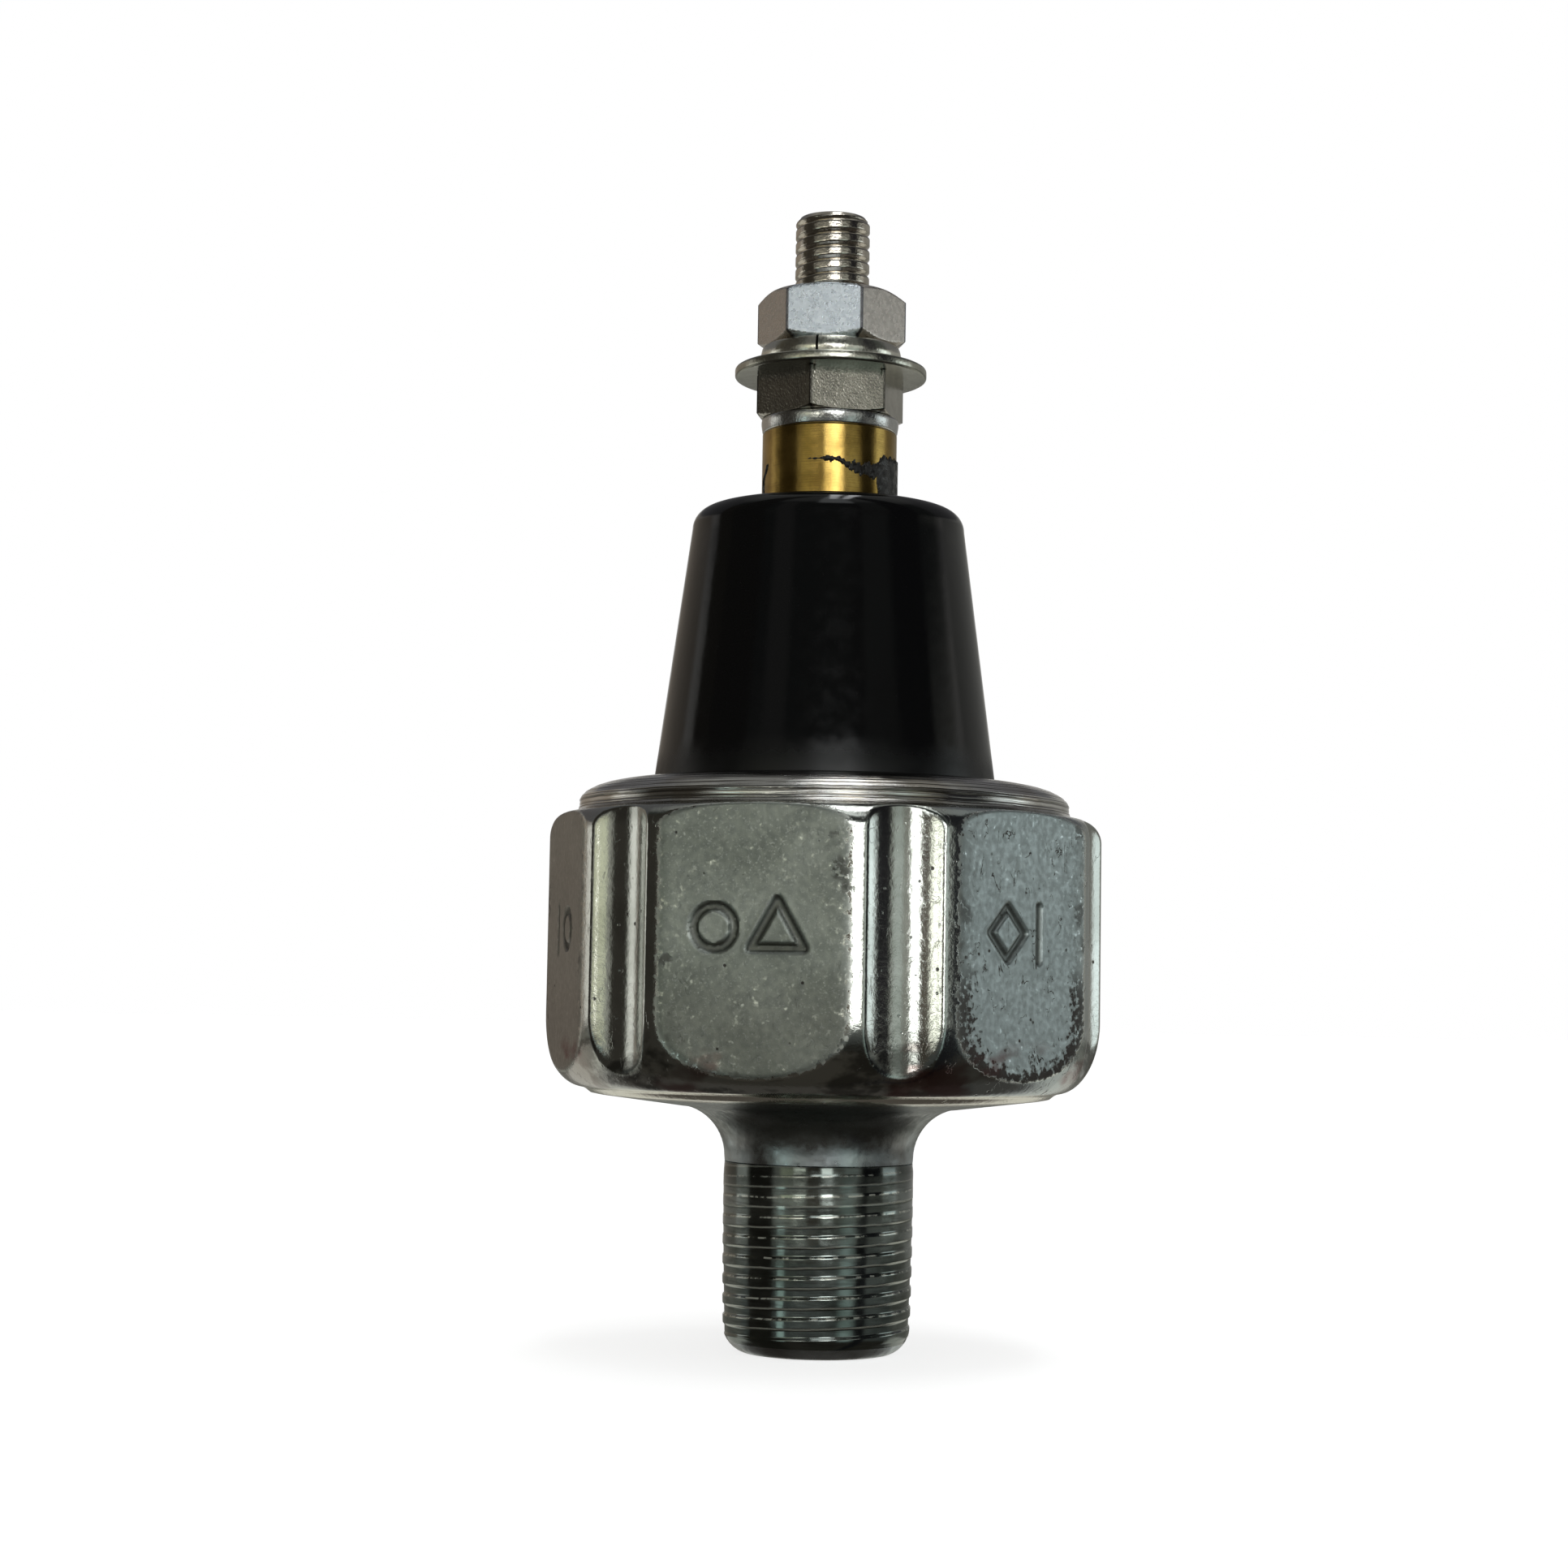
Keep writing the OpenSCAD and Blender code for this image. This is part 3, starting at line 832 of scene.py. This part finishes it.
def port_tooth(u, z):
    """Radius of the taper thread: wide crests, narrow valleys, run out at the neck."""
    crest = PORT_CREST - (THREAD_TOP - z) * PORT_TAPER
    valley = crest - PORT_TOOTH
    tooth = smooth_step(np.abs(u - 0.5) * 2, *PORT_FLANK)
    radius = valley + (crest - valley) * tooth
    run_out = smooth_step(z, THREAD_TOP - 0.7, THREAD_TOP - 0.05)
    radius = radius * (1 - run_out) + NECK_R * run_out
    return soft_min(radius, end_radius(z), 0.1)


def make_port(thread_metal, plain_metal):
    """The taper thread with its end face and the passage's wall."""
    angles = even_angles(160)
    thread = thread_grid(PORT_LOW, THREAD_TOP, PORT_PITCH, port_tooth, angles, 24)
    foot, top = thread[0][0, 0], thread[0][-1, -1]
    joint_z = THREAD_TOP + 0.02
    above = [(top, THREAD_TOP), (NECK_R - 0.14, joint_z), (PASSAGE_R, joint_z),
             (PASSAGE_R, 0.35), (PASSAGE_R + 0.3, 0)]
    below = [(END_R - 0.35, 0), (END_R - 0.1, 0.04)]
    below += [(end_radius(z), z) for z in (0.06, 0.14, 0.28, 0.45)]
    below.append((foot, PORT_LOW))
    return threaded("switch_body_port", below, thread, above, angles, "housing",
                    "switch_body", [thread_metal, plain_metal], True)


# ---- Insulator and its metal

BUSH_R = 3.5
BUSH_BORE_R = 1.95
# The bush's flange and key groove, both inside the moulding
FLANGE_R = 5.25
FLANGE_TOP = 28.7
KEY_GROOVE_R = 3.0
KEY_GROOVE = (35, 36.5)
# The cone is widest just above the body's lip
CONE_R = 8.8
CONE_SLOPE = 0.133
TOP_ROUND = 1.1
# Hollow under the cone
HOLLOW_R = 8.4
HOLLOW_TOP = 27.2


def make_insulator(material):
    """The moulded cone, from its flange under the lip to the sleeve in its top."""
    low, high = INSULATOR_Z
    base_r, cone_z = widest("insulator"), BODY_Z[1] + 0.1
    round_z = high - TOP_ROUND
    round_r = CONE_R - CONE_SLOPE * (round_z - cone_z)
    centre_r = round_r - TOP_ROUND
    path = [(base_r, low), (base_r, CAVITY_TOP), (CONE_R, CAVITY_TOP), (CONE_R, cone_z - 0.2)]
    path += line((CONE_R - 0.005, cone_z), (round_r, round_z), 20)
    path += arc((centre_r, round_z), TOP_ROUND, TOP_ROUND, 6, 90, 14)
    path += line((centre_r - 0.3, high), (BUSH_R + 0.12, high), 3)
    path += [(BUSH_R + 0.02, high - 0.1), (BUSH_R, high - 0.4), (BUSH_R, FLANGE_TOP),
             (FLANGE_R + 0.05, FLANGE_TOP), (FLANGE_R + 0.05, HOLLOW_TOP),
             (HOLLOW_R, HOLLOW_TOP), (HOLLOW_R, low)]
    return turned("insulator_cone", path, "housing", "insulator", material,
                  even_angles(240), sharp=32)


def make_bush(material):
    """The brass sleeve, with the flange and groove that hold it in the moulding."""
    low, high = heights("terminal_bush")
    groove_low, groove_high = KEY_GROOVE
    path = [(FLANGE_R, low), (FLANGE_R, FLANGE_TOP), (BUSH_R, FLANGE_TOP),
            (BUSH_R, groove_low), (KEY_GROOVE_R, groove_low), (KEY_GROOVE_R, groove_high),
            (BUSH_R, groove_high), (BUSH_R, high - 0.06), (BUSH_R - 0.06, high),
            (BUSH_BORE_R, high), (BUSH_BORE_R, low)]
    return turned("terminal_bush_sleeve", path, "housing", "terminal_bush", material,
                  even_angles(160), sharp=30)


def make_collar(material):
    """The thin ring on the sleeve's end, with a soft upper edge."""
    low, high = heights("bush_collar")
    outer, bore = widest("bush_collar"), 1.97
    path = rounded([(bore, low), (outer - 0.08, low), (outer, high - 0.25),
                    (outer - 0.02, high), (bore, high)], 0.12)
    return turned("bush_collar_ring", path, "housing", "bush_collar", material)


def lacquer_cover(turn, up):
    """How far a point lies inside the smear's outline, in mm. turn is in degrees from the
    camera's side, up is the height over the insulator."""
    centre = 2.15 - 0.45 * smooth_step(turn, 4, 24)
    half = (0.06 * smooth_step(turn, -22, -17) + 0.1 * smooth_step(turn, -9, -4)
            + 0.15 * smooth_step(turn, 12, 20) + 0.1 * smooth_step(turn, 28, 38))
    streak = half - 0.03 - np.abs(up - centre)
    blob = 1.45 * smooth_step(turn, 42, 49) * smooth_step(turn, 112, 92) - 0.17
    blob = blob - np.abs(up - 1.28)
    drip_turn = -66 - 9 * smooth_step(up, 2.1, 1.3)
    drip = np.minimum(0.15 - 3.5 * np.abs(np.radians(turn - drip_turn)), 2.2 - up)
    foot = 0.62 * smooth_step(turn, -44, -54) * smooth_step(turn, -80, -68) - 0.25 - up
    edge = (np.sin(turn * 0.55 + up * 4) + 0.8 * np.sin(turn * 1.3 - up * 7 + 1)
            + 0.6 * np.sin(turn * 2.7 + up * 12) + 0.5 * np.sin(turn * 0.8 - up * 19))
    cover = np.maximum.reduce([streak, blob, drip, foot])
    return cover + edge * (0.02 + 0.05 * smooth_step(half, 0.08, 0.3))


def shell_quads(cover, least):
    """A closed shell over the cells of a grid whose cover exceeds least: the outer skin, the
    inner skin and the walls between them. The inner skin's points follow the outer ones."""
    rows, columns = cover.shape
    count = cover.size
    cells = {}
    for i in range(rows - 1):
        for j in range(columns - 1):
            if cover[i:i + 2, j:j + 2].max() > least:
                cells[(i, j)] = (i * columns + j, i * columns + j + 1,
                                 (i + 1) * columns + j + 1, (i + 1) * columns + j)
    quads = []
    for (i, j), corners in cells.items():
        quads.append(corners)
        quads.append(tuple(count + corners[k] for k in (0, 3, 2, 1)))
        for k, neighbour in enumerate(((i - 1, j), (i, j + 1), (i + 1, j), (i, j - 1))):
            if neighbour not in cells:
                a, b = corners[k], corners[(k + 1) % 4]
                quads.append((b, a, a + count, b + count))
    return quads


def make_lacquer(material):
    """The smear lies on the sleeve; its rim dips into the brass, so its outline is ragged."""
    low = INSULATOR_Z[1]
    top = heights("sealing_lacquer")[1] + 0.5
    facing = math.radians(-90 + CAMERA_AZIMUTH)
    angles, z = np.meshgrid(np.radians(np.arange(-112, 116, 0.8)),
                            np.arange(low - 0.02, top, 0.04))
    cover = lacquer_cover(np.degrees(angles), z - low)
    outer = BUSH_R + np.clip(cover * 0.5, -0.02, 0.07)
    inner = np.full_like(outer, BUSH_R - 0.06)
    points = [grid_points(r, z, angles + facing) for r in (outer, inner)]
    return finish_mesh("sealing_lacquer_smear", np.concatenate(points),
                       shell_quads(cover, -0.03), "housing", "sealing_lacquer",
                       [material])


# ---- Terminal hardware

# Degrees turned, bore, half the width over flats, face radius and height of the corner cuts
NUT = {"turn": 7.5, "bore": 2.0, "apothem": 3.37, "face_r": 3.27, "rise": 0.66}
LOCK_NUT = {"turn": 29, "bore": 1.96, "apothem": 3.42, "face_r": 3.6, "rise": 0.38}
NUT_WIDE_R = 4.45
NUT_EDGE_ROUND = 0.06
BORE_CUT = 0.35


def make_nut(name, node, body, slot, material, cut_high, turn, bore, apothem, face_r, rise):
    """A hexagon nut whose corners are cut by a cone below and, if cut_high, above."""
    low, high = heights(node)
    path = [(bore, low + BORE_CUT), (bore + BORE_CUT, low), (face_r - 0.15, low)]
    path += line((face_r, low + 0.02), (NUT_WIDE_R, low + rise), 16)
    path += line((NUT_WIDE_R, low + rise + 0.1), (NUT_WIDE_R, high - rise - 0.1), 3)
    if cut_high:
        path += line((NUT_WIDE_R, high - rise), (face_r, high - 0.02), 16)
        path += [(face_r - 0.15, high)]
    else:
        path += [(NUT_WIDE_R, high - 0.04), (NUT_WIDE_R - 0.6, high)]
    path += [(bore + BORE_CUT, high), (bore, high - BORE_CUT)]

    def warp(angle, radius, height):
        away = (angle - math.radians(turn)) % SIXTH - SIXTH / 2
        return soft_min(radius, apothem / np.cos(away), NUT_EDGE_ROUND), height

    angles = np.concatenate([sextant([(0, 24, 6), (24, 30, 8)], turn - 90 + 60 * k)
                             for k in range(6)])
    return turned(name, path, body, node, material, angles, warp, sharp=24)


def make_flat_washer(material):
    """A plain ring with all its edges rounded."""
    low, high = WASHER_Z
    outer, inner = widest("flat_washer"), 2.15
    path = rounded([(inner, low), (outer, low), (outer, high), (inner, high)], 0.14)
    return turned("flat_washer_disc", path, "terminal_washers", "flat_washer",
                  material, even_angles(160), sharp=30)


def make_lock_washer(material):
    """A split ring: its two ends face each other across a narrow gap."""
    low, high = heights("lock_washer")
    outer, inner = widest("lock_washer"), 2.1
    half_gap = math.radians(1.0)
    path = rounded([(inner, low), (outer - 0.12, low), (outer, (low + high) / 2),
                    (outer - 0.12, high), (inner, high)], 0.16, 3)
    angles = math.radians(-87.5) + half_gap + np.linspace(0, TAU - 2 * half_gap, 140)
    rows, count = len(path), len(angles)
    points = grid_points(*turned_grid(path, angles), angles)
    quads = grid_quads(rows, count, close_rows=True, close_columns=False)
    quads.append(tuple(i * count for i in range(rows)))
    quads.append(tuple(i * count + count - 1 for i in reversed(range(rows))))
    return finish_mesh("lock_washer_ring", points, quads, "terminal_washers", "lock_washer",
                       [material], 30)


STUD_PITCH = 0.7
STUD_CREST = 1.94
STUD_TOOTH = 0.13


def stud_tooth(u, z):
    """Radius of the stud's thread, started over the lock nut and cut to a cone at its end."""
    tooth = smooth_step(np.abs(u - 0.5) * 2, 1.0, 0.5)
    radius = STUD_CREST - STUD_TOOTH * (1 - tooth)
    end = STUD_CREST - 0.28 + (STUD_Z[1] - z) * 0.9
    start = STUD_CREST - STUD_TOOTH + np.maximum(z - LOCK_NUT_Z[0], 0) * 0.6
    return soft_min(np.minimum(radius, start), end, 0.06)


def make_stud(material):
    """The stud from its plain inner end in the bush to its free end."""
    foot_z, end_z = STUD_Z
    low, high = LOCK_NUT_Z[0], end_z - 0.18
    angles = even_angles(120)
    thread = thread_grid(low, high, STUD_PITCH, stud_tooth, angles, 12)
    foot, top = thread[0][0, 0], thread[0][-1, -1]
    below = [(0, foot_z), (1.4, foot_z), (1.7, foot_z + 0.3), (foot, low)]
    above = [(top, high), (top - 0.08, end_z - 0.05), (top - 0.25, end_z), (0.8, end_z),
             (0, end_z)]
    return threaded("terminal_stud_thread", below, thread, above, angles, "housing",
                    "terminal_stud", [material], False)


# ---- Sealed pieces

SPRING_WIRE_R = 0.35
SPRING_TURNS = 6
SPRING_CLOSED_RISE = 0.735
SPRING_STEPS = 36
WIRE_STEPS = 12


def make_spring(material):
    """The coil, with one closed turn at each end."""
    low, high = heights("pressure_spring")
    first, last = low + SPRING_WIRE_R, high - SPRING_WIRE_R
    coil_r = widest("pressure_spring") - SPRING_WIRE_R
    turns = np.linspace(0, SPRING_TURNS, SPRING_STEPS * SPRING_TURNS + 1)
    middle_z = np.interp(turns, (0, 1, SPRING_TURNS - 1, SPRING_TURNS),
                         (first, first + SPRING_CLOSED_RISE, last - SPRING_CLOSED_RISE, last))
    across = even_angles(WIRE_STEPS)
    radius = coil_r + SPRING_WIRE_R * np.cos(across)
    height = middle_z[:, None] + SPRING_WIRE_R * np.sin(across)
    points = grid_points(radius, height, TAU * turns[:, None])
    quads = grid_quads(len(turns), WIRE_STEPS)
    quads.append(tuple(reversed(range(WIRE_STEPS))))
    quads.append(tuple(range(len(points) - WIRE_STEPS, len(points))))
    piece = finish_mesh("pressure_spring_coil", points, quads, "housing", "pressure_spring",
                        [material])
    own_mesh(piece)


def finish_sealed_pieces():
    """The pieces inside keep their CAD shape and get their own finish."""
    finishes = {
        "body_seal": plain("seal_rubber", (0.03, 0.03, 0.03), 0.55),
        "diaphragm": plain("amber_film", (0.75, 0.36, 0.05), 0.2),
        "contact_ring": plain("ground_steel", (0.62, 0.62, 0.63), 0.25, 1.0, 6.0),
        "insulator_gasket": plain("pressed_fibre", (0.4, 0.26, 0.15), 0.8, 0.0, 5.0),
        "plunger": plain("pusher_plastic", (0.75, 0.7, 0.58), 0.45),
        "contact_tips": plain("silver_alloy", (0.85, 0.85, 0.83), 0.2, 1.0, 8.0),
        "moving_contact": plain("contact_brass", (0.74, 0.53, 0.2), 0.25, 1.0, 4.0),
    }
    finishes["diaphragm_backing"] = finishes["diaphragm"]
    finishes["spring_seat"] = finishes["moving_contact"]
    for node, material in finishes.items():
        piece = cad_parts[node]
        piece.data.materials.clear()
        piece.data.materials.append(material)


# ---- Stage, light and camera

# Parts of the studio that the metal mirrors. Azimuths are from the camera's side, positive to
# the right, and elevations are above the horizon, both in degrees.
PANELS = (
    # azimuths, elevations, softness, colour
    ((-165, -117), (-5, 18), 4, (0.25, 0.22, 0.185)),
    ((112, 165), (-5, 18), 4, (0.24, 0.24, 0.225)),
    ((-116, -97), (-2.5, 9), 3, (0.85, 0.85, 0.80)),
    ((-93, -56), (-90, 90), 3, (0.035, 0.032, 0.027)),
    ((-106, -90), (9, 40), 2, (0.05, 0.045, 0.035)),
    ((-46, -30), (-2, 9), 2, (0.70, 0.72, 0.54)),
    ((-46, -29), (18, 48), 3, (0.12, 0.12, 0.115)),
    ((18, 29), (18, 48), 2, (0.035, 0.035, 0.035)),
    ((29, 51), (18, 48), 2, (0.085, 0.09, 0.085)),
    ((-50, -41), (-24, -7), 1.5, (0.80, 1.02, 0.97)),
    ((28, 44), (-24, -6), 6, (0.47, 0.59, 0.56)),
    ((28, 60), (14.5, 20), 0.7, (0.06, 0.06, 0.055)),
    ((32, 50), (-2, 12), 3, (0.52, 0.57, 0.54)),
    ((54, 83), (-4, 90), 2.5, (0.018, 0.018, 0.02)),
    ((48, 62), (-90, -4), 2.5, (0.018, 0.018, 0.02)),
    ((86, 108), (-2.5, 12), 2, (1.12, 1.25, 1.27)),
    ((-13, 2), (-6, 7), 2, (0.12, 0.10, 0.08)),
    ((-29, -16), (-2.2, 5.5), 1.2, (2.6, 2.6, 2.3)),
    ((4, 17), (-2.2, 9), 1.2, (5.0, 5.1, 5.0)),
    ((-8, 23), (9, 16.6), 1, (3.7, 3.8, 3.8)),
    ((-10, 25), (46, 90), 3, (1.1, 1.15, 1.15)),
)
# Long lamps overhead: how far aside each one reaches, in degrees.
LAMPS = ((0.5, 4.0), (7.0, 11.0))


def studio_world():
    """A room that is dark above eye level, with windows, pale walls and dark gaps."""
    world = bpy.data.worlds.new("studio")
    bpy.context.scene.world = world
    world.use_nodes = True
    s = Nodes(world.node_tree)
    direction = s.node("ShaderNodeTexCoord").outputs["Generated"]
    turn = s.node("ShaderNodeVectorRotate", direction, rotation_type="Z_AXIS")
    turn.inputs["Angle"].default_value = math.radians(90 - CAMERA_AZIMUTH)
    x, y, z = s.split(turn.outputs[0])
    azimuth = s.times(s.math("ARCTAN2", y, x), 360 / TAU)
    elevation = s.times(s.math("ARCSINE", z), 360 / TAU)
    sideways = s.times(s.math("ARCSINE", y), 360 / TAU)
    behind = s.span(s.math("ABSOLUTE", azimuth), 100, 112)

    front = s.mix(s.span(elevation, 13, 20), (0.30, 0.30, 0.27), (0.045, 0.05, 0.047))
    front = s.mix(s.span(elevation, -4, -8), front, (0.12, 0.13, 0.125))
    front = s.mix(s.span(elevation, -16, -28), front, (0.04, 0.036, 0.03))
    walls = s.mix(s.span(elevation, 15, 20), (0.46, 0.45, 0.43), (0.12, 0.12, 0.125))
    walls = s.mix(s.band(elevation, -15, -5, 1.5), walls, (0.17, 0.17, 0.15))
    walls = s.mix(s.band(elevation, -32, -16, 1.5), walls, (0.55, 0.55, 0.50))
    walls = s.mix(s.span(elevation, -30, -40), walls, (0.06, 0.055, 0.05))
    tone = s.mix(s.span(elevation, 46, 60), s.mix(behind, front, walls), (0.27, 0.275, 0.265))
    for azimuths, elevations, soft, colour in PANELS:
        shape = s.times(s.band(azimuth, *azimuths, soft), s.band(elevation, *elevations, soft))
        tone = s.mix(shape, tone, colour)
    for low, high in LAMPS:
        shape = s.times(s.band(sideways, low, high, 0.5), s.span(elevation, 68, 73))
        tone = s.mix(shape, tone, (5.0, 5.1, 5.2))
    camera_ray = s.node("ShaderNodeLightPath").outputs["Is Camera Ray"]
    s.feed(s.tree.nodes["Background"].inputs["Color"], s.mix(camera_ray, tone, (1, 1, 1)))


def make_floor():
    """A pale floor under the thread's end. It glows softly, so that it meets the pale
    backdrop without a line, and the metal mirrors the studio in its place."""
    bpy.ops.mesh.primitive_plane_add(size=3.0, location=(0, 0, cad_box[0][2]))
    floor = bpy.context.object
    floor.name = "floor"
    s = Surface("pale_floor", 0.0, Roughness=0.9, Emission_Strength=0.78)
    s.shader.inputs["Emission Color"].default_value = (1, 1, 1, 1)
    s.colour(s.mix(s.noise(0.05, 2), (0.88, 0.88, 0.88), (0.92, 0.92, 0.92)))
    floor.data.materials.append(s.material)
    floor.visible_glossy = False
    floor.visible_diffuse = False


def make_camera():
    """Camera close in front, slightly below the middle, looking a little upwards."""
    distance, eye_z, focal = 0.145, 0.018, 64.6
    pitch, aim_aside, lean = 4.32, 0.825, 0.95
    a = math.radians(CAMERA_AZIMUTH)
    place = Vector((distance * math.sin(a), -distance * math.cos(a), eye_z))
    heading = Matrix.Rotation(a + math.radians(aim_aside), 4, "Z")
    tilt = Matrix.Rotation(math.radians(90 + pitch), 4, "X")
    roll = Matrix.Rotation(math.radians(lean), 4, "Z")
    data = bpy.data.cameras.new("camera")
    data.lens = focal
    data.clip_start = 0.005
    camera = bpy.data.objects.new("camera", data)
    camera.matrix_world = Matrix.Translation(place) @ heading @ tilt @ roll
    bpy.context.scene.collection.objects.link(camera)
    bpy.context.scene.camera = camera


# ---- Everything

def build():
    make_camera()
    studio_world()
    make_floor()
    neck = neck_steel()
    make_body(zinc_plate(), turned_steel(), neck)
    make_port(thread_steel(), neck)
    make_insulator(phenolic())
    make_bush(brass())
    make_collar(plated("bright_collar", (0.7, 0.7, 0.68), 0.2))
    make_lacquer(lacquer_film())
    washers = washer_zinc()
    make_nut("lock_nut_hexagon", "lock_nut", "housing", "jam_nut_zinc",
             plated("jam_nut_zinc", (0.58, 0.55, 0.48), 0.15, turn=LOCK_NUT["turn"]), False,
             **LOCK_NUT)
    make_flat_washer(washers)
    make_lock_washer(washers)
    make_nut("terminal_nut_hexagon", "terminal_nut", "terminal_nut", "nut_zinc",
             crystal_zinc(NUT["turn"]), True, **NUT)
    make_stud(plated("stud_nickel", (0.74, 0.68, 0.59), 0.15))
    make_spring(plain("spring_steel", (0.36, 0.38, 0.42), 0.3, 1.0, 8.0))
    finish_sealed_pieces()
    bpy.context.scene.view_settings.view_transform = "Standard"


build()
